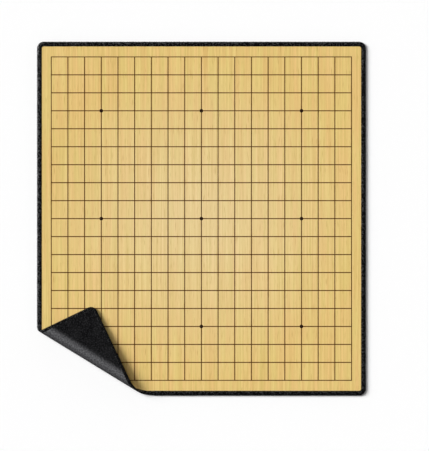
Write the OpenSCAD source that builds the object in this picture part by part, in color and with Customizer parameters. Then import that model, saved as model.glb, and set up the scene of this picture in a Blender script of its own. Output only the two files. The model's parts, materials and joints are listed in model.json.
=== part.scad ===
// Roll-up go mat: printed cloth on foam rubber, overlocked all round, one corner folded over.
// Millimetres. The origin is the middle of the underside, +X is the mat's right and +Y its far side.

/* [Grid] */
// Lines each way
line_count = 19; // [9:2:19]
// Spacing of the upright lines
pitch_x = 22; // [18:0.1:26]
// Spacing of the level lines
pitch_y = 23.7; // [19:0.1:28]
// Width of a printed line
line_w = 1; // [0.5:0.1:2]
// Diameter of a star point
star_d = 4; // [2:0.1:6]
// Lines from the edge of the grid to the outer star points
star_step = 3; // [2:1:3]
// Thickness of the printed ink
ink_h = 0.05; // [0.02:0.01:0.2]
// Bare cloth left and right of the grid
margin_x = 12.8; // [8:0.1:30]
// Bare cloth above and below the grid
margin_y = 14; // [8:0.1:30]

/* [Layers] */
// Thickness of the foam rubber sheet
rubber_t = 2; // [1:0.1:4]
// Thickness of the bonding film
film_t = 0.1; // [0.05:0.05:0.3]
// Thickness of the face cloth
cloth_t = 0.4; // [0.2:0.05:0.8]

/* [Edge stitching] */
// Width of the stitching on the cloth
edge_w = 5.7; // [4:0.1:9]
// Thickness of the thread outside the cut edge of the layers
edge_wrap = 0.8; // [0.4:0.1:1.5]
// Height of the stitching's crown above the cloth
edge_rise = 0.6; // [0.2:0.05:1.2]
// Width of the stitching under the rubber
foot_w = 4.2; // [2:0.1:6]
// Thickness of the stitching under the rubber, at its inner end
foot_tip = 0.1; // [0.05:0.05:0.3]
// Depth to which the thread pinches the rubber at its cut edge
foot_h = 0.4; // [0.3:0.05:0.8]
// How far the crown's outer shoulder lies below the cloth
edge_drop = 0.3; // [0.1:0.05:0.35]
// Radius of the cloth's corners inside the stitching
corner_in = 2.8; // [1:0.1:12]

/* [Corner fold] */
// Distance up the left side at which the bend starts
fold_up = 90; // [70:1:120]
// Distance along the near side at which the bend starts
fold_along = 156; // [120:1:200]
// Radius of the cloth inside the bend at the left side
bend_in_left = 1.2; // [1:0.1:4]
// Radius of the cloth inside the bend at the near side
bend_in_near = 5.5; // [4.5:0.1:9]
// Gap between the stitching at the folded tip and the cloth under it
tip_gap = 0.8; // [0.4:0.1:1.5]
// Hinged strips that make up the bend
bend_strips = 6; // [4:1:8]
// Slit between one strip and the next at the left side
slit = 0.05; // [0.02:0.01:0.2]
// Clearance between the layers and the stitching along the bend
seam_gap = 0.2; // [0.2:0.05:0.4]
// Width by which the rubber's chamfer along the bend passes the stitching under it
seam_slope = 1.4; // [1.2:0.1:3]

/* [Hidden] */
// Sides of the polygon that stands for each strip's arc
bend_cells = 3;
// Sides of the polygon that stands for the stitching's round crown
crown_sides = 8;
// Smoothness of round outlines
$fn = 64;
// Angles between which the turn of the whole bend is looked for
turn_low = 170;
turn_high = 250;
// Times that this range is halved
turn_halvings = 24;

mat_top = rubber_t + film_t + cloth_t;
grid_w = pitch_x * (line_count - 1);
grid_l = pitch_y * (line_count - 1);
mat_w = grid_w + 2 * (margin_x + edge_w);
mat_l = grid_l + 2 * (margin_y + edge_w);
corner_r = corner_in + edge_w;

// The bend starts on a line from the left side to the near side and rolls up as part of a cone, tighter
// at the left side. In the fold's own frame the origin is the cone's apex, +X runs along the line
// towards the near side, +Y points into the mat and +Z up.
fold_x = -mat_w / 2;
fold_y = fold_up - mat_l / 2;
fold_dir = atan2(fold_up, fold_along);
bend_left = bend_in_left + mat_top;
bend_near = bend_in_near + mat_top;
cone_half = asin((bend_near - bend_left) / norm([fold_up, fold_along]));
apex_out = bend_left / sin(cone_half);
apex = [fold_x - apex_out * cos(fold_dir), fold_y + apex_out * sin(fold_dir)];
// Tip of the flat corner, furthest from the fold
tip = [
    corner_r * (1 - sin(fold_dir)) - mat_w / 2,
    corner_r * (1 - cos(fold_dir)) - mat_l / 2,
];
// The bend turns until the stitching at the tip is as close to the cloth as tip_gap
fold_angle = fold_turn(turn_low, turn_high, turn_halvings);
strip_angle = fold_angle / bend_strips;
slit_angle = slit / bend_left * 180 / PI;

PLACES = ["base", for (k = [1 : bend_strips]) str("bend_", k), "corner"];
LAYERS = ["rubber", "bonding_film", "face_cloth", "edge_stitching", "grid_lines"];

RUBBER = [0.11, 0.11, 0.12];
FILM = [0.86, 0.84, 0.78];
CLOTH = [0.9, 0.78, 0.51];
THREAD = [0.17, 0.17, 0.17];
INK = [0.24, 0.12, 0.04];

// Angle in the flat mat between the start of the bend and the ray that comes to an angle of the bend
function spread(angle) = angle * sin(cone_half);
// Angle of the bend at a point of the flat mat
function angle_at(x, y) = (-atan2(y - apex[1], x - apex[0]) - fold_dir) / sin(cone_half);
// Distance from the apex, along the ray for an angle of the bend, of the points at a given x or y
function ray_at_x(x, angle) = (x - apex[0]) / cos(fold_dir + spread(angle));
function ray_at_y(y, angle) = (apex[1] - y) / sin(fold_dir + spread(angle));
// A point z above the rubber's underside, carried round the bend in the fold's frame
function bent(ray, angle, z) =
    let (s = sin(cone_half), c = cos(cone_half))
    [
        ray * (c * c + s * s * cos(angle)) + z * s * c * (1 - cos(angle)),
        (z * c - ray * s) * sin(angle),
        ray * s * c * (1 - cos(angle)) + z * (c * c * cos(angle) + s * s),
    ];
// Height of the stitching's crown at the folded tip, for an angle of the whole bend
function tip_height(angle) =
    let (
        ray = norm(tip - apex),
        past = spread(angle_at(tip[0], tip[1]) - angle),
        crown = bent(ray * cos(past), angle, mat_top + edge_rise)
    )
    crown[2] + ray * sin(past) * cos(cone_half) * sin(angle);
// Angle between low and high at which the tip is tip_gap above the cloth, found by halving
function fold_turn(low, high, halvings) =
    let (middle = (low + high) / 2)
    halvings == 0 ? middle
    : tip_height(middle) > mat_top + tip_gap ? fold_turn(middle, high, halvings - 1)
    : fold_turn(low, middle, halvings - 1);
// Angles at the two ends of strip k
function strip_start(k) = (k - 1) * strip_angle + slit_angle / 2;
function strip_end(k) = k * strip_angle - slit_angle / 2;

// Section of the stitching: distance in from the mat's outer edge, height
EDGE_SECTION = [
    [0, 0],
    [foot_w, 0],
    [foot_w, foot_tip],
    [edge_wrap, foot_h],
    [edge_wrap, mat_top],
    for (i = [0 : crown_sides])
        let (turn = 180 * i / crown_sides)
        [
            edge_w * (1 + cos(turn)) / 2,
            mat_top + edge_rise * sin(turn) - edge_drop * (1 - cos(turn)) / 2
        ],
];

// Places of the upright and level lines, from the middle of the mat
LINES_X = [for (i = [0 : line_count - 1]) i * pitch_x - grid_w / 2];
LINES_Y = [for (i = [0 : line_count - 1]) i * pitch_y - grid_l / 2];

module fold_frame() {
    translate([apex[0], apex[1], 0]) rotate(-fold_dir) children();
}

module unfold_frame() {
    rotate(fold_dir) translate([-apex[0], -apex[1], 0]) children();
}

// Everything past the ray for an angle of the bend, moved into the mat by shift
module beyond(angle, shift) {
    reach = mat_w + mat_l + apex_out;
    fold_frame()
        rotate(-spread(angle))
        translate([-reach, shift - reach, -mat_top])
        cube([2 * reach, reach, 4 * mat_top]);
}

// The flat mat up to the bend
module on_base() {
    difference() {
        children();
        beyond(0, slit / 2);
    }
}

// The corner past the bend, turned over on to the mat
module on_corner() {
    fold_frame()
        rotate(a = -fold_angle, v = [cos(cone_half), 0, sin(cone_half)])
        rotate(spread(fold_angle))
        unfold_frame()
        intersection() {
            children();
            beyond(fold_angle, -slit / 2);
        }
}

// Outline of the mat, drawn in by inset
module outline(inset) {
    w = mat_w - 2 * inset;
    l = mat_l - 2 * inset;
    r = corner_r - inset;
    square([w - 2 * r, l], center = true);
    square([w, l - 2 * r], center = true);
    for (x = [-1, 1])
        for (y = [-1, 1])
            translate([x * (w / 2 - r), y * (l / 2 - r)]) circle(r);
}

module sheet(inset, z, thickness) {
    translate([0, 0, z]) linear_extrude(thickness) outline(inset);
}

// The rubber's lower edge is pinched to the slope of the stitching under it
module flat_rubber() {
    difference() {
        sheet(edge_wrap, 0, rubber_t);
        flat_stitching();
    }
}

module flat_film() {
    sheet(edge_wrap, rubber_t, film_t);
}

module flat_cloth() {
    sheet(edge_wrap, rubber_t + film_t, cloth_t);
}

// One side of the stitching and the corner at its right-hand end, for a side at distance reach
module edge_side(run, reach) {
    translate([0, -reach, 0]) {
        rotate([90, 0, 90]) linear_extrude(run, center = true) polygon(EDGE_SECTION);
        translate([run / 2, corner_r, 0])
            rotate(-90)
            rotate_extrude(angle = 90)
            polygon([for (p = EDGE_SECTION) [corner_r - p[0], p[1]]]);
    }
}

module flat_stitching() {
    for (turn = [0, 180]) {
        rotate(turn) edge_side(mat_w - 2 * corner_r, mat_l / 2);
        rotate(turn + 90) edge_side(mat_l - 2 * corner_r, mat_w / 2);
    }
}

module flat_lines() {
    translate([0, 0, mat_top]) linear_extrude(ink_h) {
        for (x = LINES_X)
            translate([x, 0]) square([line_w, grid_l + line_w], center = true);
        for (y = LINES_Y)
            translate([0, y]) square([grid_w + line_w, line_w], center = true);
    }
}

module star_points() {
    star_line = (line_count - 1) / 2 - star_step;
    color(INK)
        for (x = [-1 : 1])
            for (y = [-1 : 1])
                translate([x * star_line * pitch_x, y * star_line * pitch_y, mat_top + ink_h])
                    cylinder(h = ink_h, d = star_d);
}

// The one cap of a section with no inward corner
function whole(section) = [[for (i = [0 : len(section) - 1]) i]];

// A closed solid through rings of points, each ring flat and with as many points as the last. The caps
// are the faces that close a ring's section, each without an inward corner.
module loft(rings, caps) {
    n = len(rings[0]);
    last = len(rings) - 1;
    points = [for (ring = rings) each ring];
    sides = [
        for (j = [0 : last - 1])
            for (i = [0 : n - 1])
                let (a = j * n + i, b = j * n + (i + 1) % n)
                each [[a, b, b + n], [a, b + n, a + n]],
    ];
    ends = [
        for (cap = caps) [for (i = [len(cap) - 1 : -1 : 0]) cap[i]],
        for (cap = caps) [for (i = cap) last * n + i],
    ];
    polyhedron(points, concat(sides, ends));
}

// A section carried round strip k as far as an angle of the bend. Its points are [side, place, height]:
// side 0 is a line along the near side at y = place, and side 1 one along the left side at x = place.
module bent_strip(k, section, last, caps) {
    fold_frame() loft([
        for (j = [0 : bend_cells])
            let (angle = strip_start(k) + j / bend_cells * (last - strip_start(k)))
            [
                for (p = section)
                    bent(p[0] == 0 ? ray_at_y(p[1], angle) : ray_at_x(p[1], angle), angle, p[2])
            ]
    ], caps);
}

// A layer round strip k. Its points are [inset, height], from its lower edge to its upper one.
module bent_layer(k, edge) {
    section = [
        for (i = [len(edge) - 1 : -1 : 0]) [0, edge[i][0] - mat_l / 2, edge[i][1]],
        for (p = edge) [1, p[0] - mat_w / 2, p[1]],
    ];
    bent_strip(k, section, strip_end(k), whole(section));
}

module bent_sheet(k, z, thickness) {
    inset = edge_wrap + seam_gap;
    bent_layer(k, [[inset, z], [inset, z + thickness]]);
}

module bent_rubber(k) {
    inset = edge_wrap + seam_gap;
    bent_layer(k, [[foot_w + seam_slope, 0], [inset, foot_h + seam_gap], [inset, rubber_t]]);
}

module bent_stitching(k) {
    last = len(EDGE_SECTION) - 1;
    near = [for (p = EDGE_SECTION) [0, p[0] - mat_l / 2, p[1]]];
    left = [for (i = [last : -1 : 0]) [1, EDGE_SECTION[i][0] - mat_w / 2, EDGE_SECTION[i][1]]];
    // Foot, wall and crown of the section
    near_caps = [[0, 1, 2, 3], [0, 3, 4, last], for (i = [5 : last - 1]) [4, i, i + 1]];
    left_caps = [for (cap = near_caps) [for (i = [len(cap) - 1 : -1 : 0]) last - cap[i]]];
    bent_strip(k, near, strip_end(k), near_caps);
    bent_strip(k, left, strip_end(k), left_caps);
}

// A printed line on strip k, z above the underside, as far as an angle of the bend. Side and place are
// as in bent_strip, and out is the half width towards the near end of the fold.
module bent_line(k, side, place, out, z, last) {
    section = [
        [side, place + out, z],
        [side, place - out, z],
        [side, place - out, z + ink_h],
        [side, place + out, z + ink_h],
    ];
    if (last > strip_start(k)) bent_strip(k, section, min(last, strip_end(k)), whole(section));
}

// Where lines cross on the bend, the level ones lie on the upright ones
module bent_lines(k) {
    for (x = LINES_X)
        bent_line(k, 1, x, line_w / 2, mat_top, angle_at(x, -grid_l / 2));
    for (y = LINES_Y)
        bent_line(k, 0, y, -line_w / 2, mat_top + ink_h, angle_at(-grid_w / 2, y));
}

module rubber(place) {
    color(RUBBER) {
        if (place == 0) on_base() flat_rubber();
        else if (place > bend_strips) on_corner() flat_rubber();
        else bent_rubber(place);
    }
}

module bonding_film(place) {
    color(FILM) {
        if (place == 0) on_base() flat_film();
        else if (place > bend_strips) on_corner() flat_film();
        else bent_sheet(place, rubber_t, film_t);
    }
}

module face_cloth(place) {
    color(CLOTH) {
        if (place == 0) on_base() flat_cloth();
        else if (place > bend_strips) on_corner() flat_cloth();
        else bent_sheet(place, rubber_t + film_t, cloth_t);
    }
}

module edge_stitching(place) {
    color(THREAD) {
        if (place == 0) on_base() flat_stitching();
        else if (place > bend_strips) on_corner() flat_stitching();
        else bent_stitching(place);
    }
}

module grid_lines(place) {
    color(INK) {
        if (place == 0) on_base() flat_lines();
        else if (place > bend_strips) on_corner() flat_lines();
        else bent_lines(place);
    }
}

star_points();
for (place = [0 : bend_strips + 1]) {
    name = PLACES[place];
    rubber(place);
    bonding_film(place);
    face_cloth(place);
    edge_stitching(place);
    grid_lines(place);
}
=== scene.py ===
# %% [markdown]
# # A roll-up go mat with one corner folded over
# The object is a flexible board for the game of go: a cloth face printed with straight wood grain and a
# grid of lines, a black foam rubber back, and a dense black overlock seam that wraps the edge all round.
# The near left corner is turned over. The construction is loaded as a fixed frame of bodies and hinges,
# and this lesson dresses it: each soft layer becomes a bent sheet, and the seam becomes real thread.

# %% Load the frame
import json
import math
import bpy
import numpy as np
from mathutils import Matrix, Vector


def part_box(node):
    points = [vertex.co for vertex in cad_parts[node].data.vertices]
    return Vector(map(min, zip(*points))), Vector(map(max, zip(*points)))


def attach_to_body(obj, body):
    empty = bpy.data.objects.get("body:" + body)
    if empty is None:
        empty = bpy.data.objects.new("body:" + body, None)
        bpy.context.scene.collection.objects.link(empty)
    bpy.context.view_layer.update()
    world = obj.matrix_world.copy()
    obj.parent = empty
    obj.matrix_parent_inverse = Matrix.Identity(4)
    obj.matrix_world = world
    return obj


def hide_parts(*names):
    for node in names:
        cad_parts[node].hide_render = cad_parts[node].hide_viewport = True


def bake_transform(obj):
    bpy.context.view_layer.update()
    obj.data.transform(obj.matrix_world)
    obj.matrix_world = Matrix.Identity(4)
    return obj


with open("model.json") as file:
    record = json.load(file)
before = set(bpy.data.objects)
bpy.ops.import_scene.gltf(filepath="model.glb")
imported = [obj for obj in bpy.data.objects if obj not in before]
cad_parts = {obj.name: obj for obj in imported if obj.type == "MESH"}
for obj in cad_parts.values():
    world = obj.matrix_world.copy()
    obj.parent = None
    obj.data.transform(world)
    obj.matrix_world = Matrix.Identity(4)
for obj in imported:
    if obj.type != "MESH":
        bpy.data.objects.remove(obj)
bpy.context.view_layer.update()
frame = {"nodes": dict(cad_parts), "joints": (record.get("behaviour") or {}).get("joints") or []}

# %% [markdown]
# ## The mat's flat sizes
# Sizes that the frame knows are read from it, so that every new piece lies where its solid lies. A few
# sizes of the seam and the print are written here once, in metres.

# %% Flat sizes
seam_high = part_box("edge_stitching_base")[1]
HALF_W, HALF_L, CROWN_Z = seam_high.x, seam_high.y, seam_high.z
RUBBER_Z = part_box("rubber_base")[1].z
CLOTH_LOW, CLOTH_Z = (corner.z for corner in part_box("face_cloth_base"))
INK_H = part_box("grid_lines_base")[1].z - CLOTH_Z
EDGE_W = 0.0057
CORNER_R = 0.0085
FOOT_W = 0.0042
LINE_COUNT = 19
PITCH = np.array([0.022, 0.0237])
LINE_W = 0.001
STAR_STEP = 6
STAR_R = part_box("star_points")[1].x - STAR_STEP * PITCH[0]
print(f"mat {2000 * HALF_W:.0f} x {2000 * HALF_L:.0f} mm, {1000 * CLOTH_Z:.1f} mm thick")

# %% [markdown]
# ## The cone that the corner rolls round
# A corner that is folded over bends round a cone, tight at one side and wide at the other. The frame's
# seven hinges are straight lines on that cone, so the cone follows from them: its tip is where the hinge
# lines meet, its axis is at the same angle to all of them, and the last one says how far the bend turns.

# %% Cone from the hinges
hinges = frame["joints"]
lines = np.array([joint["axis"] for joint in hinges])
pivots = np.array([joint["pos_m"] for joint in hinges])
across = np.eye(3) - lines[:, :, None] * lines[:, None, :]
APEX = np.linalg.solve(across.sum(0), np.einsum("kij,kj->i", across, pivots))
axis = np.cross(lines[3] - lines[0], lines[6] - lines[0])
axis *= np.sign(axis @ lines[0]) / np.linalg.norm(axis)
SIN_CONE = math.sin(math.acos(axis @ lines[0]))
side = lines[0] - (axis @ lines[0]) * axis
turned = np.arctan2(-lines @ np.cross(axis, side), lines @ side)
TURN = float(np.unwrap(turned)[-1])
STEP = TURN / (len(hinges) - 1)
ALONG = lines[0]
INTO = np.cross([0, 0, 1], ALONG)
print(f"cone: half angle {math.degrees(math.asin(SIN_CONE)):.2f} deg, bend {math.degrees(TURN):.1f} deg")

# %% [markdown]
# ## Folding as one formula
# Every layer and every thread is first laid out flat, where it is simple, and then folded by one function
# of whole arrays. Cloth simulation could find a fold like this too, but a formula keeps lengths exact and
# gives the same corner each time. A point is turned flat about the cone's tip until its line lies on the
# start of the bend, and is then rolled round the cone's axis by the angle that belongs to that line.


# %% The fold
def bend_angle(flat):
    """Angle round the cone: the flat point's angle about the cone's tip over the sine of its half angle."""
    from_tip = flat[..., :2] - APEX[:2]
    return np.arctan2(-from_tip @ INTO[:2], from_tip @ ALONG[:2]) / SIN_CONE


def folded(flat):
    """Flat points turned about the cone's tip on to the bend's first line, then rolled about its axis."""
    angle = np.clip(bend_angle(flat), 0, TURN)
    from_tip = flat - APEX
    u, v = from_tip @ ALONG, from_tip @ INTO
    c, s = np.cos(angle * SIN_CONE), np.sin(angle * SIN_CONE)
    laid = ((u * c - v * s)[..., None] * ALONG + (u * s + v * c)[..., None] * INTO)
    laid = laid + from_tip[..., 2:] * np.array([0, 0, 1])
    c, s = np.cos(angle)[..., None], np.sin(angle)[..., None]
    rolled = laid * c - np.cross(axis, laid) * s + (laid @ axis)[..., None] * axis * (1 - c)
    return APEX + rolled


def on_ray(angle, x=None, y=None):
    """Flat point where the line for a bend angle meets a given x or y."""
    turn = angle * SIN_CONE
    ray = np.cos(turn)[..., None] * ALONG[:2] - np.sin(turn)[..., None] * INTO[:2]
    reach = (x - APEX[0]) / ray[..., 0] if y is None else (y - APEX[1]) / ray[..., 1]
    return APEX[:2] + reach[..., None] * ray


check = np.array([[HALF_W, HALF_L, 0.0], [-HALF_W, -HALF_L, 0.0]])
print("flat corners go to", np.round(1000 * folded(check), 2).tolist(), "mm")

# %% [markdown]
# ## Meshes from grids, and pieces over the hinges
# A grid of points becomes quads in one step. A piece over a hinge covers half of the strip before it and
# half of the strip after it, is baked where it lies on the fold, and hides the solids of those strips.
# Every layer has the same nine places: the base, the seven hinges and the corner.

# %% Mesh helpers
PLACES = ["base"] + [f"hinge_{number}" for number in range(1, len(hinges) + 1)] + ["corner"]
SHARP_ANGLE = math.radians(50)


def grid_quads(rows, columns):
    """Corner numbers of the quads of a grid of rows by columns points."""
    first = (np.arange(rows - 1)[:, None] * columns + np.arange(columns - 1)).ravel()
    return first[:, None] + np.array([0, 1, columns + 1, columns])


def new_piece(name, points, quads, uv, material):
    """A mesh piece from points, quads and the map place of each quad corner, sharp only at true edges."""
    mesh = bpy.data.meshes.new(name)
    mesh.from_pydata(points.reshape(-1, 3).tolist(), [], quads.tolist(), shade_flat=False)
    mesh.uv_layers.new(name="flat").data.foreach_set("uv", uv.astype(np.float32).ravel())
    mesh.set_sharp_from_angle(angle=SHARP_ANGLE)
    mesh.materials.append(material)
    piece = bpy.data.objects.new(name, mesh)
    bpy.context.collection.objects.link(piece)
    return piece


def bend_with(piece):
    """Bake the place of a piece that lies over a hinge into its mesh."""
    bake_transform(piece)


def attach(piece, index, layers):
    """Let a piece ride on its body, or bake it where it lies over its hinge, and hide its layers' solids
    there.
    """
    place = PLACES[index]
    if place in ("base", "corner"):
        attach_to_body(piece, "mat" if place == "base" else "corner")
        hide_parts(f"{layers[0]}_{place}")
    else:
        bend_with(piece)
        strips = [k for k in (index - 1, index) if 1 <= k < len(hinges)]
        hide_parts(*[f"{layer}_bend_{k}" for layer in layers for k in strips])


# %% [markdown]
# ## Shared shader groups
# Three effects serve the finishes. Streaks are noise stretched along one way, as in straight wood grain and
# in rolled rubber. Weave is two crossed waves, the over and under of fine yarns, and gives a height for a
# Bump node. Bleed is the ink that has run into the yarns round the printed lines and star points. Each is
# one node group with named inputs, placed with its own values, so a finish can be tuned without new nodes.


# %% Node groups
def node_group(name, inputs, outputs):
    """An empty shader group with the named float or vector inputs and float outputs."""
    group = bpy.data.node_groups.new(name, "ShaderNodeTree")
    for label, kind, value in inputs:
        socket = group.interface.new_socket(label, in_out="INPUT", socket_type=f"NodeSocket{kind}")
        if value is not None:
            socket.default_value = value
    for label in outputs:
        group.interface.new_socket(label, in_out="OUTPUT", socket_type="NodeSocketFloat")
    return group, group.nodes.new("NodeGroupInput"), group.nodes.new("NodeGroupOutput")


def node(tree, kind, links=(), **settings):
    """A node of a kind, with its settings, linked from the given outputs to its inputs."""
    made = tree.nodes.new(f"ShaderNode{kind}")
    for key, value in settings.items():
        if key.startswith("in_"):
            made.inputs[int(key[3:])].default_value = value
        else:
            setattr(made, key, value)
    for source, target in links:
        tree.links.new(source, made.inputs[target])
    return made


def math_node(tree, operation, *values):
    """Result of a Math node on sockets or plain numbers."""
    made = tree.nodes.new("ShaderNodeMath")
    made.operation = operation
    for index, value in enumerate(values):
        if isinstance(value, bpy.types.NodeSocket):
            tree.links.new(value, made.inputs[index])
        else:
            made.inputs[index].default_value = value
    return made.outputs[0]


def streaks_group():
    """Noise on a place scaled by Across along x and by Along along y."""
    sizes = [("Across", "Float", 500.0), ("Along", "Float", 10.0), ("Detail", "Float", 2.0)]
    group, given, made = node_group("streaks", [("Place", "Vector", None), *sizes], ["Value"])
    scale = node(group, "CombineXYZ", [(given.outputs["Across"], 0), (given.outputs["Along"], 1)]).outputs[0]
    place = node(group, "VectorMath", [(given.outputs["Place"], 0), (scale, 1)], operation="MULTIPLY")
    noise = node(group, "TexNoise", [(place.outputs[0], "Vector"), (given.outputs["Detail"], "Detail")])
    noise.noise_dimensions = "2D"
    noise.inputs["Scale"].default_value = 1
    group.links.new(noise.outputs["Fac"], made.inputs["Value"])
    return group


def weave_group():
    """Height of a plain weave: the product of two crossed sine waves with Pitch between yarns."""
    sizes = [("Pitch", "Float", 0.0005)]
    group, given, made = node_group("weave", [("Place", "Vector", None), *sizes], ["Height"])
    scale = math_node(group, "DIVIDE", math.pi, given.outputs["Pitch"])
    place = node(group, "VectorMath", [(given.outputs["Place"], 0), (scale, "Scale")], operation="SCALE")
    parts = node(group, "SeparateXYZ", [(place.outputs[0], 0)]).outputs
    waves = [math_node(group, "SINE", parts[way]) for way in (0, 1)]
    group.links.new(math_node(group, "MULTIPLY", *waves), made.inputs["Height"])
    return group


def bleed_group():
    """How much ink has run from the nearest line and star point: 1 within its size, 0 at Spread past it.

    Lines stand at every pitch and star points at every sixth, so their distances go back and forth."""
    sizes = [("Line", "Float", 0.0005), ("Star", "Float", 0.002), ("Spread", "Float", 0.0003)]
    group, given, made = node_group("bleed", [("Place", "Vector", None), *sizes], ["Line", "Star"])
    parts = node(group, "SeparateXYZ", [(given.outputs["Place"], 0)]).outputs
    lines, stars, inside = [], [], []
    for way, pitch in enumerate(PITCH):
        limit = (LINE_COUNT - 1) / 2 * pitch + LINE_W / 2
        lines.append(math_node(group, "PINGPONG", parts[way], pitch / 2))
        stars.append(math_node(group, "PINGPONG", parts[way], STAR_STEP / 2 * pitch))
        inside.append(math_node(group, "LESS_THAN", math_node(group, "ABSOLUTE", parts[way]), limit))
    corner = node(group, "CombineXYZ", [(stars[0], 0), (stars[1], 1)]).outputs[0]
    from_star = node(group, "VectorMath", [(corner, 0)], operation="LENGTH").outputs["Value"]
    within = math_node(group, "MULTIPLY", *inside)
    for label, distance in (("Line", math_node(group, "MINIMUM", *lines)), ("Star", from_star)):
        past = math_node(group, "SUBTRACT", distance, given.outputs[label])
        fade = node(group, "MapRange", [(past, 0), (given.outputs["Spread"], 1)], in_2=0.0).outputs[0]
        group.links.new(math_node(group, "MULTIPLY", fade, within), made.inputs[label])
    return group


STREAKS = streaks_group()
WEAVE = weave_group()
BLEED = bleed_group()
print("node groups:", STREAKS.name, WEAVE.name, BLEED.name)

# %% [markdown]
# ## Helpers for finishes
# Each finish is one Principled shader with a few nodes before it. Colours are written as they look on the
# screen and made linear. Values that are the same all over are set on the shader's own sockets.


# %% Material helpers
def linear(red, green, blue):
    """A display colour from 0 to 255 as the linear colour that a shader takes."""
    c = np.array([red, green, blue]) / 255
    return (*np.where(c <= 0.04045, c / 12.92, ((c + 0.055) / 1.055) ** 2.4), 1)


def finish(name, **sockets):
    """A material with a Principled shader, whose uniform sockets are set on the shader itself."""
    material = bpy.data.materials.new(name)
    material.use_nodes = True
    shader = material.node_tree.nodes["Principled BSDF"]
    for label, value in sockets.items():
        shader.inputs[label.replace("_", " ")].default_value = value
    return material, material.node_tree, shader


def placed(tree, group, links, **values):
    """A node group in a material, with its own values and links."""
    made = tree.nodes.new("ShaderNodeGroup")
    made.node_tree = group
    for label, value in values.items():
        made.inputs[label].default_value = value
    for source, target in links:
        tree.links.new(source, made.inputs[target])
    return made


def mixed(tree, factor, low, high):
    """Colour between low and high by a factor. Low and high are colours or sockets."""
    mix = node(tree, "Mix", [(factor, 0)], data_type="RGBA")
    for index, value in ((6, low), (7, high)):
        if isinstance(value, tuple):
            mix.inputs[index].default_value = value
        else:
            tree.links.new(value, mix.inputs[index])
    return mix.outputs[2]


def spread(tree, value, low, high):
    """A value clamped from the range low to high on to 0 to 1."""
    return node(tree, "MapRange", [(value, 0)], in_1=low, in_2=high).outputs[0]


def bumped(tree, shader, height, distance):
    """Surface relief of the given depth in metres from a height socket."""
    bump = node(tree, "Bump", [(height, "Height")])
    bump.inputs["Distance"].default_value = distance
    tree.links.new(bump.outputs[0], shader.inputs["Normal"])


print("material helpers ready")

# %% [markdown]
# ## Printed cloth
# The face is smooth woven polyester with a straight wood grain printed on it. Its map is the flat mat in
# metres, so the print stays on the cloth round the bend. Fine and broad streaks run from the near side to
# the far side, short dark pores lie between them, and the colour is paler towards the middle of the mat. A
# photographed board could be the print, but streaks by formula have no end and no pixels. Brown ink has run
# a little into the yarns beside each line, which softens the line's edge.


# %% Cloth finish
BLEED_W = 0.0003
YARN_PITCH, YARN_RELIEF = 0.0005, 0.00002
PALE_FROM, PALE_FULL, PALE_SHARE = 0.21, 0.03, 0.6


def cloth_finish():
    """Wood grain: a ground colour times tints by fine streaks and pores, with ink spread round the lines."""
    material, tree, shader = finish("printed_cloth", Specular_IOR_Level=0.15, Sheen_Weight=0.05)
    place = node(tree, "UVMap", uv_map="flat").outputs[0]
    broad = placed(tree, STREAKS, [(place, "Place")], Across=110.0, Along=9.0, Detail=3.0).outputs[0]
    fine = placed(tree, STREAKS, [(place, "Place")], Across=520.0, Along=7.0, Detail=2.0).outputs[0]
    pores = placed(tree, STREAKS, [(place, "Place")], Across=900.0, Along=55.0, Detail=1.0).outputs[0]
    ground = mixed(tree, spread(tree, broad, 0.35, 0.65), linear(233, 197, 128), linear(231, 204, 129))
    from_middle = node(tree, "VectorMath", [(place, 0)], operation="LENGTH").outputs["Value"]
    pale = node(tree, "MapRange", [(from_middle, 0)], in_1=PALE_FROM, in_2=PALE_FULL, in_4=PALE_SHARE)
    paler_to_middle = mixed(tree, pale.outputs[0], ground, linear(239, 216, 168))
    tint = mixed(tree, spread(tree, fine, 0.28, 0.76), (1, 1, 1, 1), (0.86, 0.83, 0.72, 1))
    tint = mixed(tree, spread(tree, pores, 0.64, 0.85), tint, (0.72, 0.65, 0.5, 1))
    grained = node(tree, "Mix", [(paler_to_middle, 6), (tint, 7)], data_type="RGBA", blend_type="MULTIPLY", in_0=1.0)
    star = STAR_R + BLEED_W
    bled = placed(tree, BLEED, [(place, "Place")], Line=LINE_W / 2, Star=star, Spread=BLEED_W).outputs
    lined = mixed(tree, bled["Line"], grained.outputs[2], linear(136, 70, 0))
    printed = mixed(tree, bled["Star"], lined, linear(28, 8, 0))
    tree.links.new(printed, shader.inputs["Base Color"])
    rough = node(tree, "MapRange", [(fine, 0)], in_3=0.72, in_4=0.86).outputs[0]
    tree.links.new(rough, shader.inputs["Roughness"])
    yarns = placed(tree, WEAVE, [(place, "Place")], Pitch=YARN_PITCH).outputs[0]
    bumped(tree, shader, yarns, YARN_RELIEF)
    return material


CLOTH = cloth_finish()
print("finish:", CLOTH.name)

# %% [markdown]
# ## Foam rubber
# The back is a matte black sheet of foam rubber, mottled by its cells. Along the fold it carries a painted
# highlight, a band of grey. The band could come from the light alone, but it lies too far inside the
# outline for that, so it is painted on the flat map: straight, beside the line of the bend that faces the
# side, strongest at its inner edge and fading to either hand.


# %% Rubber finish
# Where the painted highlight lies on the flat map: its bend line, its offset and its widths.
PAINTED_HIGHLIGHT_BEND = 2.14
PAINTED_HIGHLIGHT_OFF = 0.0079
PAINTED_HIGHLIGHT_INNER, PAINTED_HIGHLIGHT_OUTER = 0.009, 0.008
CELL_RELIEF = 0.0001
painted_highlight_turn = PAINTED_HIGHLIGHT_BEND * SIN_CONE
PAINTED_HIGHLIGHT_WAY = tuple(-math.sin(painted_highlight_turn) * ALONG - math.cos(painted_highlight_turn) * INTO)
PAINTED_HIGHLIGHT = float(APEX @ np.array(PAINTED_HIGHLIGHT_WAY)) + PAINTED_HIGHLIGHT_OFF


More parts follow.
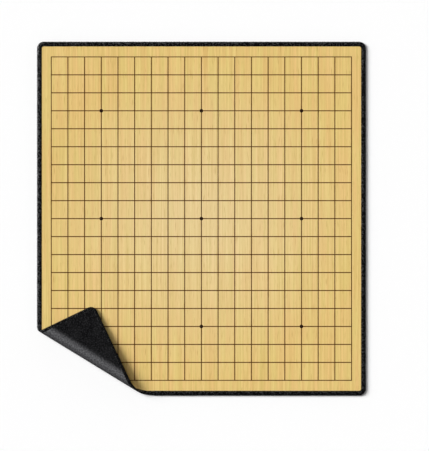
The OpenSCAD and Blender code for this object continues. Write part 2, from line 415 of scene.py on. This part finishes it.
def rubber_finish():
    """Two close blacks, mottled by noise, and a mottled grey painted highlight in a band along the fold."""
    gloss = {"Specular_IOR_Level": 0.05, "Sheen_Weight": 0.008, "Sheen_Roughness": 0.45}
    material, tree, shader = finish("foam_rubber", **gloss)
    place = node(tree, "UVMap", uv_map="flat").outputs[0]
    cells = node(tree, "TexNoise", [(place, "Vector")], noise_dimensions="2D")
    cells.inputs["Scale"].default_value = 420
    cells.inputs["Detail"].default_value = 5
    cells.inputs["Roughness"].default_value = 0.65
    rolled = placed(tree, STREAKS, [(place, "Place")], Across=75.0, Along=60.0, Detail=2.0).outputs[0]
    mottle = placed(tree, STREAKS, [(place, "Place")], Across=560.0, Along=500.0, Detail=5.0).outputs[0]
    black = mixed(tree, spread(tree, rolled, 0.38, 0.66), linear(0, 0, 1), linear(16, 16, 17))
    specked = mixed(tree, spread(tree, mottle, 0.45, 0.82), black, linear(44, 44, 46))
    # Painted highlight: a grey band on the rubber along the fold, standing in for light on the bend.
    past = node(tree, "VectorMath", [(place, 0)], operation="DOT_PRODUCT", in_1=PAINTED_HIGHLIGHT_WAY).outputs["Value"]
    painted_highlight_inner_fade = node(tree, "MapRange", [(past, 0)], in_1=PAINTED_HIGHLIGHT + PAINTED_HIGHLIGHT_INNER, in_2=PAINTED_HIGHLIGHT)
    painted_highlight_inner_fade.interpolation_type = "SMOOTHSTEP"
    painted_highlight_outer_fade = node(tree, "MapRange", [(past, 0)], in_1=PAINTED_HIGHLIGHT - PAINTED_HIGHLIGHT_OUTER, in_2=PAINTED_HIGHLIGHT, in_3=0.2)
    share = math_node(tree, "MULTIPLY", painted_highlight_inner_fade.outputs[0], painted_highlight_outer_fade.outputs[0])
    painted_highlight_grey = mixed(tree, spread(tree, mottle, 0.3, 0.72), linear(58, 58, 60), linear(106, 106, 108))
    with_painted_highlight = mixed(tree, share, specked, painted_highlight_grey)
    tree.links.new(with_painted_highlight, shader.inputs["Base Color"])
    rough = node(tree, "MapRange", [(rolled, 0)], in_3=0.55, in_4=0.75).outputs[0]
    tree.links.new(rough, shader.inputs["Roughness"])
    bumped(tree, shader, cells.outputs[0], CELL_RELIEF)
    return material


RUBBER = rubber_finish()
print("finish:", RUBBER.name)

# %% [markdown]
# ## Thread
# Overlock thread is black spun polyester. Its twisted plies are a slanted wave on the thread's own map. Some
# loops lie tight and smooth and catch the light, others are fluffed and stay dull, so a slow noise changes
# the shine from place to place. Where a loop goes under the rubber it is soft and dull throughout: the ring
# along its own map tells where that is. The fluff could be hair on the tubes, but it is finer than a pixel.


# %% Thread finish
UNDER_FROM, UNDER_FULL = 5.5, 7.0
SHINE, DULL = 0.85, 0.03
PLY_RELIEF = 0.00002


def thread_finish():
    """Black by a wave along and round the thread. Roughness and shine by a slow noise, dull underneath."""
    material, tree, shader = finish("edge_thread")
    place = node(tree, "UVMap", uv_map="flat").outputs[0]
    along, round_it, _ = node(tree, "SeparateXYZ", [(place, 0)]).outputs
    turns = math_node(tree, "ADD", round_it, along)
    plies = math_node(tree, "SINE", math_node(tree, "MULTIPLY", turns, 4 * math.pi))
    # Painted shade: the colour is darker in the grooves between the plies and lighter on their crests.
    black = mixed(tree, spread(tree, plies, -1, 1), linear(4, 4, 5), linear(18, 18, 19))
    tree.links.new(black, shader.inputs["Base Color"])
    lot = node(tree, "TexNoise", [(node(tree, "TexCoord").outputs["Object"], "Vector")])
    lot.inputs["Scale"].default_value = 430
    lot.inputs["Detail"].default_value = 1
    rough = node(tree, "MapRange", [(lot.outputs[0], 0)], in_1=0.35, in_2=0.65, in_3=0.34, in_4=0.5)
    tree.links.new(rough.outputs[0], shader.inputs["Roughness"])
    shine = node(tree, "MapRange", [(lot.outputs[0], 0)], in_1=0.36, in_2=0.54, in_3=SHINE, in_4=DULL)
    under = spread(tree, along, UNDER_FROM, UNDER_FULL)
    dulled = node(tree, "MapRange", [(under, 0), (shine.outputs[0], 3)], in_4=DULL).outputs[0]
    tree.links.new(dulled, shader.inputs["Specular IOR Level"])
    bumped(tree, shader, plies, PLY_RELIEF)
    return material


THREAD = thread_finish()
print("finish:", THREAD.name)

# %% [markdown]
# ## Ink and film
# The ink is a dark brown that lets a little of the weave through, browner on the lines, where it lies thin,
# than on the star points. The film between cloth and rubber is milky hot-melt glue, and takes the weave's
# pattern from the cloth pressed on it. All are thin layers on the same yarns, so one function makes them.


# %% Ink and film finishes
def printed_finish(name, deep, pale, rough):
    """A thin layer whose colour goes from deep to pale with the weave that it lies on."""
    material, tree, shader = finish(name, Specular_IOR_Level=0.15)
    place = node(tree, "TexCoord").outputs["Object"]
    yarns = placed(tree, WEAVE, [(place, "Place")], Pitch=YARN_PITCH).outputs[0]
    worn = placed(tree, STREAKS, [(place, "Place")], Across=300.0, Along=300.0, Detail=3.0).outputs[0]
    both = math_node(tree, "MULTIPLY", yarns, worn)
    tree.links.new(mixed(tree, spread(tree, both, -0.5, 1.0), deep, pale), shader.inputs["Base Color"])
    dull = node(tree, "MapRange", [(worn, 0)], in_3=rough - 0.1, in_4=rough + 0.1).outputs[0]
    tree.links.new(dull, shader.inputs["Roughness"])
    bumped(tree, shader, yarns, YARN_RELIEF)
    return material


INK = printed_finish("print_ink", linear(20, 6, 0), linear(46, 20, 2), 0.75)
THIN_INK = printed_finish("print_ink_thin", linear(50, 22, 0), linear(80, 42, 0), 0.75)
FILM = printed_finish("bonding_film", linear(214, 208, 194), linear(228, 223, 210), 0.4)
print("finishes:", INK.name, THIN_INK.name, FILM.name)

# %% [markdown]
# ## The sheets
# Cloth and rubber are slabs over a grid of two parameters. On the flat parts one parameter is x and the
# other runs from the lower outline to the upper one. On the bend they are the bend angle and the share of
# the way along its line. Both layers end under the seam, which hides their cut edges. Cloth on the inside
# of a fold has to part a little when the corner is laid flat, so the lower edge of each piece on the bend
# runs on under its neighbour, and no rubber shows between them.


# %% Sheet shapes
RUBBER_INSET = FOOT_W - 0.0003
CLOTH_INSET = 0.003
BASE_ROWS, CORNER_ROWS, BEND_COLUMNS = 25, 17, 31
UNDER_SEAM, PAST_SEAM = EDGE_W - 0.0004, EDGE_W + 0.0002
SLIVER = 1e-4


def far_edge(x, inset):
    """The mat's far outline at x, a straight side with round ends, drawn in by inset."""
    radius = CORNER_R - inset
    into_round = np.clip(np.abs(x) - (HALF_W - CORNER_R), 0, radius)
    return HALF_L - CORNER_R + np.sqrt(radius**2 - into_round**2)


def ray_height(angle, x):
    """The y of the line for a bend angle at each x."""
    return on_ray(np.full(x.shape, angle), x=x)[..., 1]


def columns(stops, count=12):
    """Places from stop to stop, spaced as a cosine so that round ends are smooth."""
    ease = (1 - np.cos(np.linspace(0, np.pi, count))) / 2
    return np.unique(np.concatenate([a + (b - a) * ease for a, b in zip(stops, stops[1:])]))


def flat_base(inset):
    """Grid over the flat mat, from its near outline or the start of the bend to its far outline."""
    side, straight = HALF_W - inset, HALF_W - CORNER_R
    start = on_ray(np.array(0.0), y=inset - HALF_L)[0]
    x = columns([-side, -straight, start, straight, side])
    low = np.maximum(-far_edge(x, inset), ray_height(0.0, x))
    y = low + (far_edge(x, inset) - low) * np.linspace(0, 1, BASE_ROWS)[:, None]
    return np.stack(np.broadcast_arrays(x, y), axis=-1)


def flat_corner(inset):
    """Grid over the corner past the bend, from its outline to the bend's end, a sliver short of its point."""
    side, straight = HALF_W - inset, HALF_W - CORNER_R
    end = on_ray(np.array(TURN), y=inset - HALF_L)[0]
    x = columns([-side, -straight, end - SLIVER])
    low = -far_edge(x, inset)
    y = low + (ray_height(TURN, x) - low) * np.linspace(0, 1, CORNER_ROWS)[:, None]
    return np.stack(np.broadcast_arrays(x, y), axis=-1)


def hinge_span(hinge, count=17):
    """Bend angles of the piece over a hinge, half a strip to either side of it, from high to low."""
    low, high = max(hinge - 0.5, 0), min(hinge + 0.5, len(hinges) - 1)
    return np.linspace(high * STEP, low * STEP, count)


def flat_bend(hinge, inset):
    """Grid over the piece of the flat mat that bends over one hinge: bend angle by place along its line.

    Places are close together at the seam's inner edge and even between the two seams."""
    angle = hinge_span(hinge)
    stops = [inset, UNDER_SEAM, PAST_SEAM]
    left = [on_ray(angle, x=stop - HALF_W) for stop in stops]
    near = [on_ray(angle, y=stop - HALF_L) for stop in stops[::-1]]
    between = left[-1] + (near[0] - left[-1]) * np.linspace(0, 1, BEND_COLUMNS)[1:-1, None, None]
    return np.stack([*left, *between, *near], axis=1)


print("cloth grid on the mat:", flat_base(CLOTH_INSET).shape[:2])

# %% [markdown]
# ### Sheets with thickness
# A sheet could be a plane with a Solidify modifier. Here its two faces are folded by the same formula, so
# that each keeps its own way round the cone, and a band of walls closes the slab between them.


# %% Slabs
def tucked(flat, ends):
    """A flat grid whose first and last rows run on by the lengths in ends, wherever no seam covers them."""
    made = flat.copy()
    for row, inner, length in zip((0, -1), (1, -2), ends):
        way = flat[row] - flat[inner]
        bare = (flat[row] + [HALF_W, HALF_L] > EDGE_W).all(axis=-1, keepdims=True)
        made[row] += bare * length * way / np.linalg.norm(way, axis=-1, keepdims=True)
    return made


def slab(flat, low, high, under=None):
    """Closed slab between two heights: an upper grid, a lower one, by default the same, and four walls."""
    rows, cols = flat.shape[:2]
    lower = flat if under is None else under
    layers = [np.dstack([grid, np.full((rows, cols), z)]) for grid, z in ((flat, high), (lower, low))]
    points = np.stack(layers)
    upper = grid_quads(rows, cols)
    number = np.arange(rows * cols).reshape(rows, cols)
    rim = np.concatenate([number[0, :-1], number[:-1, -1], number[-1, :0:-1], number[:0:-1, 0]])
    after = np.roll(rim, -1)
    walls = np.stack([after, rim, rim + rows * cols, after + rows * cols], axis=1)
    quads = np.concatenate([upper, upper[:, ::-1] + rows * cols, walls])
    return points.reshape(-1, 3), quads


def sheet_pieces(layer, inset, heights, material, also=(), tuck=0.0):
    """A layer's flat part, its pieces over the hinges and its folded corner, standing for their solids."""
    made = []
    grids = [flat_base(inset)] + [flat_bend(h, inset) for h in range(len(hinges))] + [flat_corner(inset)]
    for index, flat in enumerate(grids):
        ends = (tuck * (1 <= index < len(hinges)), tuck * (2 <= index <= len(hinges)))
        points, quads = slab(flat, *heights[index], tucked(flat, ends))
        uv = points[quads][..., :2]
        piece = new_piece(f"{layer}_sheet_{PLACES[index]}", folded(points), quads, uv, material)
        attach(piece, index, (layer, *also))
        made.append(piece)
    return made


print("one hinge's slab:", len(slab(flat_bend(1, CLOTH_INSET), 0, CLOTH_Z)[1]), "quads")

# %% [markdown]
# ### Rubber and cloth
# The rubber lies on the table and the cloth on the rubber. Over the bend the cloth also fills the place of
# the glue film, which could be a third slab there but would never show.

# %% Rubber and cloth sheets
CLOTH_TUCK = 0.0008
rubber_heights = [(0, RUBBER_Z)] * len(PLACES)
rubber = sheet_pieces("rubber", RUBBER_INSET, rubber_heights, RUBBER)
cloth_heights = [(CLOTH_LOW, CLOTH_Z)] + [(RUBBER_Z, CLOTH_Z)] * len(hinges) + [(CLOTH_LOW, CLOTH_Z)]
film = ["bonding_film"]
cloth = sheet_pieces("face_cloth", CLOTH_INSET, cloth_heights, CLOTH, film, CLOTH_TUCK)
print("sheets:", len(rubber) + len(cloth), "pieces")

# %% [markdown]
# ## The overlock seam
# An overlock machine lays thread from a needle line on the cloth, over the crown, round the cut edge and
# under the rubber, hundreds of times side by side. One loop is a small tube along a path in the plane of
# the seam's section. It could be a bevelled curve for each stitch, but one tube placed by arrays at every
# stitch is far lighter. A smooth core under the loops closes the bead.

# %% Seam path
PITCH_SEAM = 0.0012
straights = np.array([2 * (HALF_W - CORNER_R), 2 * (HALF_L - CORNER_R)] * 2)
arc = CORNER_R * math.pi / 2
legs = np.cumsum(np.stack([straights, np.full(4, arc)], axis=1).ravel())


def edge_frame(s):
    """Place on the outer edge, way along it and way inward at length s from the near side's left end.

    Each side is a straight run and a quarter circle, turned by a right angle from the side before it."""
    lap = s % legs[-1]
    leg = np.searchsorted(legs, lap, side="right")
    along = lap - np.concatenate([[0], legs])[leg]
    turn = np.where(leg % 2 == 1, along / CORNER_R, 0) + (leg // 2) * math.pi / 2
    normal = np.stack([-np.sin(turn), np.cos(turn)], axis=-1)
    tangent = np.stack([np.cos(turn), np.sin(turn)], axis=-1)
    centres = np.array([[1, -1], [1, 1], [-1, 1], [-1, -1]]) * [HALF_W - CORNER_R, HALF_L - CORNER_R]
    starts = centres - CORNER_R * np.array([[0, 1], [-1, 0], [0, -1], [1, 0]])
    starts = starts - straights[:, None] * np.array([[1, 0], [0, 1], [-1, 0], [0, -1]])
    straight = starts[leg // 2] + along[..., None] * tangent
    rounded = centres[leg // 2] - CORNER_R * normal
    return np.where((leg % 2 == 1)[..., None], rounded, straight), tangent, normal


print(f"seam {legs[-1]:.3f} m round, {int(legs[-1] / PITCH_SEAM)} stitches")

# %% [markdown]
# ### Thread as tubes
# A thread is a row of rings along its path. A ring has only four points, an arch with a flat foot, because
# there are some fifteen hundred stitches and the side of a thread that lies on the bead never shows.


# %% Thread tubes
ARCH = np.radians([-20, 50, 130, 200])
LOOP_RINGS = 11


def tube(path, radius, side):
    """Rings of four points along a path of along, inset and height: the path's points and the rings' offsets.

    A ring is an arch across the path. Its foot lies along side, and its top points out of the bead."""
    ahead = np.gradient(path, axis=0)
    ahead /= np.linalg.norm(ahead, axis=1, keepdims=True)
    across = side - (ahead @ side)[:, None] * ahead
    across /= np.linalg.norm(across, axis=1, keepdims=True)
    out = np.cross(ahead, across)
    ring = np.cos(ARCH)[:, None] * across[:, None] + np.sin(ARCH)[:, None] * out[:, None]
    return path[:, None], radius * ring


def ring_quads(rows, sides):
    """Point numbers of a row of rings, and the quads that join each ring to the next."""
    number = np.arange(rows * sides).reshape(rows, sides)
    ring = np.concatenate([number, number[:, :1]], axis=1)
    quads = np.stack([ring[:-1, :-1], ring[:-1, 1:], ring[1:, 1:], ring[1:, :-1]], axis=-1)
    return number, quads.reshape(-1, 4)


def tube_quads(rows, sides=len(ARCH)):
    """Quads of a tube of rings with closed ends, and each corner's map place: ring and share round it."""
    number, quads = ring_quads(rows, sides)
    row, column = np.divmod(np.arange((rows - 1) * sides), sides)
    corners = np.array([[0, 0], [0, 1], [1, 1], [1, 0]])
    uv = (np.stack([row, column], axis=-1)[:, None] + corners) * [1, 1 / sides]
    ends = np.array([number[0, ::-1], number[-1]])
    return np.concatenate([quads, ends]), np.concatenate([uv, np.zeros((2, 4, 2))])


print("one loop:", len(tube_quads(LOOP_RINGS)[0]), "quads")

# %% [markdown]
# ### One stitch
# A stitch is three short tubes: the loop over the edge, the needle thread that holds it on the cloth, and
# the chain that holds it under the rubber. The loop leans a little along the edge. It bulges past the plain
# bead that stands for it in the frame, and reaches a little further in over the cloth. The points below are
# the middle of the thread in the seam's section, as inset from the outer edge and height.

# %% One stitch
LOOP_R, NEEDLE_R = 0.00048, 0.0003
BULGE = 0.0005
top = CROWN_Z - LOOP_R * math.sin(ARCH[1])
loop_section = np.array([
    [EDGE_W + 0.0001, CLOTH_Z - 0.0003],
    [EDGE_W - 0.0003, CLOTH_Z],
    [0.70 * EDGE_W, top - 0.00006],
    [0.48 * EDGE_W, top],
    [0.24 * EDGE_W - 0.5 * BULGE, top - 0.00016],
    [0.0007 - BULGE, CLOTH_Z - 0.0005],
    [0.0004 - BULGE, 0.5 * CLOTH_Z],
    [0.0007 - BULGE, 0.0006],
    [0.0016 - BULGE, 0.0004],
    [FOOT_W - 0.0005, 0.0004],
    [FOOT_W - 0.0001, 0.0007],
])
lean = np.interp(np.arange(LOOP_RINGS), [0, 5, 6, 10], [0.55, 0.05, -0.05, -0.5]) * PITCH_SEAM
loop = tube(np.column_stack([lean, loop_section]), LOOP_R, np.array([1.0, 0, 0]))
reach = np.array([-0.75, -0.3, 0.3, 0.75]) * PITCH_SEAM
dip = np.array([-0.0003, 0.0001, 0.0001, -0.0003])
needle_path = np.column_stack([reach + lean[0], np.full(len(reach), EDGE_W - 0.0001), CLOTH_Z + dip])
needle = tube(needle_path, NEEDLE_R, np.array([0, 1.0, 0]))
chain_path = np.column_stack([reach + lean[-1], np.full(len(reach), FOOT_W - 0.0004), 0.0002 - 0.5 * dip])
chain = tube(chain_path, NEEDLE_R, np.array([0, -1.0, 0]))
print("stitch points:", sum(part[1][..., 0].size for part in (loop, needle, chain)))

# %% [markdown]
# ### All the stitches
# Stitches are never quite even: each is placed a little off and is a little thicker or thinner, and the
# tension of the thread wanders slowly along the seam. Random rows with a set seed give that. A stitch that
# lies on the bend belongs to its nearest hinge, and the others to the mat or to the corner.


# %% All stitches, laid flat
SEED = 19
UNEVEN_PLACE, UNEVEN_SIZE, SLACK_SIZE = 0.1, 0.05, 0.10
SLACK_OVER = 3


def wander(rng, count, over):
    """A smooth random row from about -1 to 1 that wanders over a number of stitches."""
    bell = np.hanning(2 * over + 1)
    row = np.convolve(rng.normal(size=count + 2 * over), bell / np.sqrt((bell**2).sum()), mode="valid")
    return np.clip(row / 2, -1, 1)


rng = np.random.default_rng(SEED)
stitches = int(legs[-1] / PITCH_SEAM)
slack, uneven = wander(rng, stitches, SLACK_OVER), rng.uniform(-1, 1, stitches)
s = (np.arange(stitches) + UNEVEN_PLACE * uneven) * legs[-1] / stitches
outer, tangent, normal = edge_frame(s)
thick = (1 + SLACK_SIZE * slack + UNEVEN_SIZE * uneven)[:, None, None, None]


def laid_out(part):
    """A tube's points at every stitch: along the edge by the tangent, inset by the normal, and height."""
    local = part[0] + thick * part[1]
    along, inset, height = (local[..., way : way + 1] for way in range(3))
    flat = outer[:, None, None] + along * tangent[:, None, None] + inset * normal[:, None, None]
    return np.concatenate([flat, np.maximum(height, 0)], axis=-1).reshape(stitches, -1, 3)


threads = [(laid_out(part), *tube_quads(len(part[0]))) for part in (loop, needle, chain)]
angles = bend_angle(threads[0][0])
home = np.clip(np.rint(angles.mean(1) / STEP), 0, len(hinges) - 1).astype(int) + 1
home[angles.max(1) <= 0] = 0
home[angles.min(1) >= TURN] = len(hinges) + 1
print("stitches on the mat, the hinges and the corner:", np.bincount(home).tolist())

# %% [markdown]
# ### The core of the seam
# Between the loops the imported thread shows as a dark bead. It is one section carried along the edge. Where
# the edge meets the bend, the section is drawn along the bend's own line, so the parts meet without a gap.

# %% Core
ARC_STEPS = 9
core_section = np.array([
    [EDGE_W, CLOTH_Z - 0.0001],
    [EDGE_W - 0.0003, CLOTH_Z + 0.00008],
    [0.50 * EDGE_W, CLOTH_Z + 0.00025],
    [0.22 * EDGE_W - 0.5 * BULGE, CLOTH_Z + 0.00005],
    [0.0006 - BULGE, CLOTH_Z - 0.0005],
    [0.0005 - BULGE, 0.5 * CLOTH_Z],
    [0.0007 - BULGE, 0.0005],
    [0.0012 - BULGE, 0.0002],
    [FOOT_W - 0.0003, 0.0002],
    [FOOT_W, 0.0004],
])


def at_angle(angle, side):
    """The core's section on the lines for bend angles, on the left side or the near side."""
    angle = np.broadcast_to(np.atleast_1d(angle)[:, None], (np.size(angle), len(core_section)))
    inset = core_section[:, 0]
    return on_ray(angle, x=inset - HALF_W) if side == "left" else on_ray(angle, y=inset - HALF_L)


def round_corner(number):
    """The core's section round one of the four corners, a hair short of the side that follows."""
    lengths = np.linspace(legs[2 * number], legs[2 * number + 1], ARC_STEPS)
    outer, _, normal = edge_frame(lengths - 1e-9)
    return outer[:, None] + core_section[:, :1] * normal[:, None]


def carried(sections):
    """Points and quads of the core through rows of sections, closed at both ends by rungs across it."""
    flat = np.concatenate(sections)
    rows, sides = flat.shape[:2]
    height = np.broadcast_to(core_section[:, 1], (rows, sides))
    points = np.dstack([flat, height]).reshape(-1, 3)
    quads = ring_quads(rows, sides)[1]
    rung = np.arange(sides // 2 - 1)
    rungs = np.stack([rung, rung + 1, sides - 2 - rung, sides - 1 - rung], axis=1)
    return points, np.concatenate([quads, rungs[:, ::-1], rungs + (rows - 1) * sides])


cores = [[carried([at_angle(0.0, "near"), *map(round_corner, range(3)), at_angle(0.0, "left")])]]
for hinge in range(len(hinges)):
    span = hinge_span(hinge)
    cores.append([carried([at_angle(span, "near")]), carried([at_angle(span[::-1], "left")])])
cores.append([carried([at_angle(TURN, "left"), round_corner(3), at_angle(TURN, "near")])])
print("core parts:", [len(parts) for parts in cores])

# %% [markdown]
# ### The seam's pieces
# The core and the stitches of one place are joined in one mesh, folded together, and stand for the plain
# bead there. One mesh for each place is enough, because it has one body to ride on or one hinge to lie over.


# %% Seam pieces
def joined(parts):
    """Points, quads and maps of several parts as one, each part's quads numbered on from the last."""
    starts = np.cumsum([0] + [len(points) for points, _, _ in parts])
    return (
        np.concatenate([points for points, _, _ in parts]),
        np.concatenate([quads + start for (_, quads, _), start in zip(parts, starts)]),
        np.concatenate([uv for _, _, uv in parts]),
    )


def sewn(index):
    """The core and the stitches of one place along the seam, as flat points, quads and maps."""
    parts = [(points, quads, np.zeros((len(quads), 4, 2))) for points, quads in cores[index]]
    for points, quads, uv in threads:
        here = points[home == index]
        every = quads + (np.arange(len(here)) * points.shape[1])[:, None, None]
        parts.append((here.reshape(-1, 3), every.reshape(-1, 4), np.tile(uv, (len(here), 1, 1))))
    return joined(parts)


seam = []
for index, place in enumerate(PLACES):
    points, quads, uv = sewn(index)
    piece = new_piece(f"edge_seam_{place}", folded(points), quads, uv, THREAD)
    attach(piece, index, ["edge_stitching"])
    seam.append(piece)
print("seam:", sum(len(piece.data.polygons) for piece in seam), "quads")

# %% [markdown]
# ## The print
# On the flat mat and on the corner the printed lines and star points are the frame's own thin solids, with
# the ink finishes. Round the bend the lines are ribbons that follow the cloth, cut where each line ends. They
# could be drawn in the cloth's colour too, but as pieces they stay sharp from close by.


# %% Print round the bend
RIBBON_ROWS = 9


def line_grids(hinge):
    """Flat grids of the upright and then the level lines that cross one hinge's piece."""
    span = hinge_span(hinge, RIBBON_ROWS)
    half = (LINE_COUNT - 1) / 2 * PITCH
    grids = ([], [])
    for way in (0, 1):
        for place in np.linspace(-half[way], half[way], LINE_COUNT):
            end = np.array([place, -half[1]] if way == 0 else [-half[0], place])
            angle = np.linspace(min(span[0], bend_angle(end)), span[-1], len(span))
            if angle[0] > angle[-1]:
                sides = place + np.array([-0.5, 0.5]) * LINE_W * (1 if way == 0 else -1)
                angle = np.broadcast_to(angle[:, None], (len(span), 2))
                grids[way].append(on_ray(angle, x=sides) if way == 0 else on_ray(angle, y=sides))
    return grids


ribbons = 0
for hinge in range(len(hinges)):
    strips = [
        slab(flat, CLOTH_Z + way * INK_H, CLOTH_Z + (way + 1) * INK_H)
        for way, flats in enumerate(line_grids(hinge))
        for flat in flats
    ]
    points, quads, uv = joined([(points, quads, points[quads][..., :2]) for points, quads in strips])
    piece = new_piece(f"grid_lines_hinge_{hinge + 1}", folded(points), quads, uv, THIN_INK)
    attach(piece, hinge + 1, ["grid_lines"])
    ribbons += len(strips)
print("ribbons round the bend:", ribbons)

# %% [markdown]
# ### Print and film that lie flat
# The flat lines, the star points and the flat glue film have the right shape in the frame already. They
# could be built again as sheets, but they need only their finish.

# %% Ink and film on the frame's own solids
for name, finish_of in (
    ("grid_lines_base", THIN_INK),
    ("grid_lines_corner", THIN_INK),
    ("star_points", INK),
    ("bonding_film_base", FILM),
    ("bonding_film_corner", FILM),
):
    for material_slot in frame["nodes"][name].material_slots:
        material_slot.material = finish_of
print("finished solids: print and film")

# %% [markdown]
# ## Floor
# The mat lies on a plain white floor. A curved backdrop would do as well, but a wide level square meets the
# white sky at the horizon in the same way from every side. It lies a hair below the rubber.

# %% Floor
FLOOR_HALF = 20.0
FLOOR_Z = -1e-4
floor_mesh = bpy.data.meshes.new("floor")
floor_corners = np.array([[-1, -1], [1, -1], [1, 1], [-1, 1]]) * FLOOR_HALF
floor_mesh.from_pydata([(x, y, FLOOR_Z) for x, y in floor_corners.tolist()], [], [(0, 1, 2, 3)])
floor = bpy.data.objects.new("floor", floor_mesh)
bpy.context.collection.objects.link(floor)
floor_white = finish("floor", Base_Color=(0.98, 0.98, 0.98, 1), Roughness=0.9, Specular_IOR_Level=0.1)[0]
floor_mesh.materials.append(floor_white)
print("floor:", 2 * FLOOR_HALF, "m wide")

# %% [markdown]
# ## Light
# A low wide lamp from the left gives the short shadow on the right and the shine on the seam, and a weaker,
# higher one softens it. They are suns and not area lamps, so that the light is the same all over the mat.
# The sky is white at the horizon and dim overhead: the black rubber stays black from above, and the backdrop
# is white from any side. Together they light a level surface to about one, so a colour renders about as it
# is written.


# %% Light
SKY = 0.08
SKY_LEVEL = 0.128
LEVEL = 1.02 - SKY_LEVEL
LAMP_WIDTH = math.radians(30)
WHITE_UP_TO, DIM_FROM = 0.12, 0.3


def soft_lamp(name, share, up, side):
    """A wide lamp that gives a share of the level, up and side being where it stands, in degrees."""
    lamp = bpy.data.lights.new(name, "SUN")
    lamp.angle = LAMP_WIDTH
    lamp.energy = share * LEVEL * math.pi / math.sin(math.radians(up))
    stand = bpy.data.objects.new(name, lamp)
    stand.rotation_euler = (0, math.radians(90 - up), math.radians(side))
    bpy.context.collection.objects.link(stand)
    return lamp


lamps = [
    soft_lamp("key", share=0.82, up=28, side=157),
    soft_lamp("top", share=0.18, up=62, side=130),
]

world = bpy.data.worlds.new("sky")
world.use_nodes = True
bpy.context.scene.world = world
tree = world.node_tree
sky = tree.nodes["Background"]
sky.inputs["Color"].default_value = (1, 1, 1, 1)
up = node(tree, "SeparateXYZ", [(node(tree, "TexCoord").outputs["Generated"], 0)]).outputs[2]
level = node(tree, "MapRange", [(up, 0)], in_1=WHITE_UP_TO, in_2=DIM_FROM, in_3=1.0, in_4=SKY).outputs[0]
tree.links.new(level, sky.inputs["Strength"])
bpy.context.scene.view_settings.view_transform = "Standard"
print(f"light: sky {SKY},", [f"{lamp.name} {lamp.energy:.2f}" for lamp in lamps])

# %% [markdown]
# ## Camera
# The camera looks straight down from far away through a long lens, so the grid stays square to its edges.
# How much it sees follows from the grid's pitch in pixels, and its place from where the lines fall.

# %% Camera
PHOTO_H = 451
MM_PER_PIXEL = 1.3187
LENS = 300.0
EYE_X, EYE_Y = 0.01729, -0.00907
view_height = PHOTO_H * MM_PER_PIXEL / 1000
camera = bpy.data.cameras.new("camera")
camera.lens = LENS
eye = bpy.data.objects.new("camera", camera)
eye.location = (EYE_X, EYE_Y, CLOTH_Z + view_height * LENS / camera.sensor_width)
camera.clip_end = 100
bpy.context.collection.objects.link(eye)
bpy.context.scene.camera = eye
print(f"camera {eye.location.z:.2f} m above the floor")
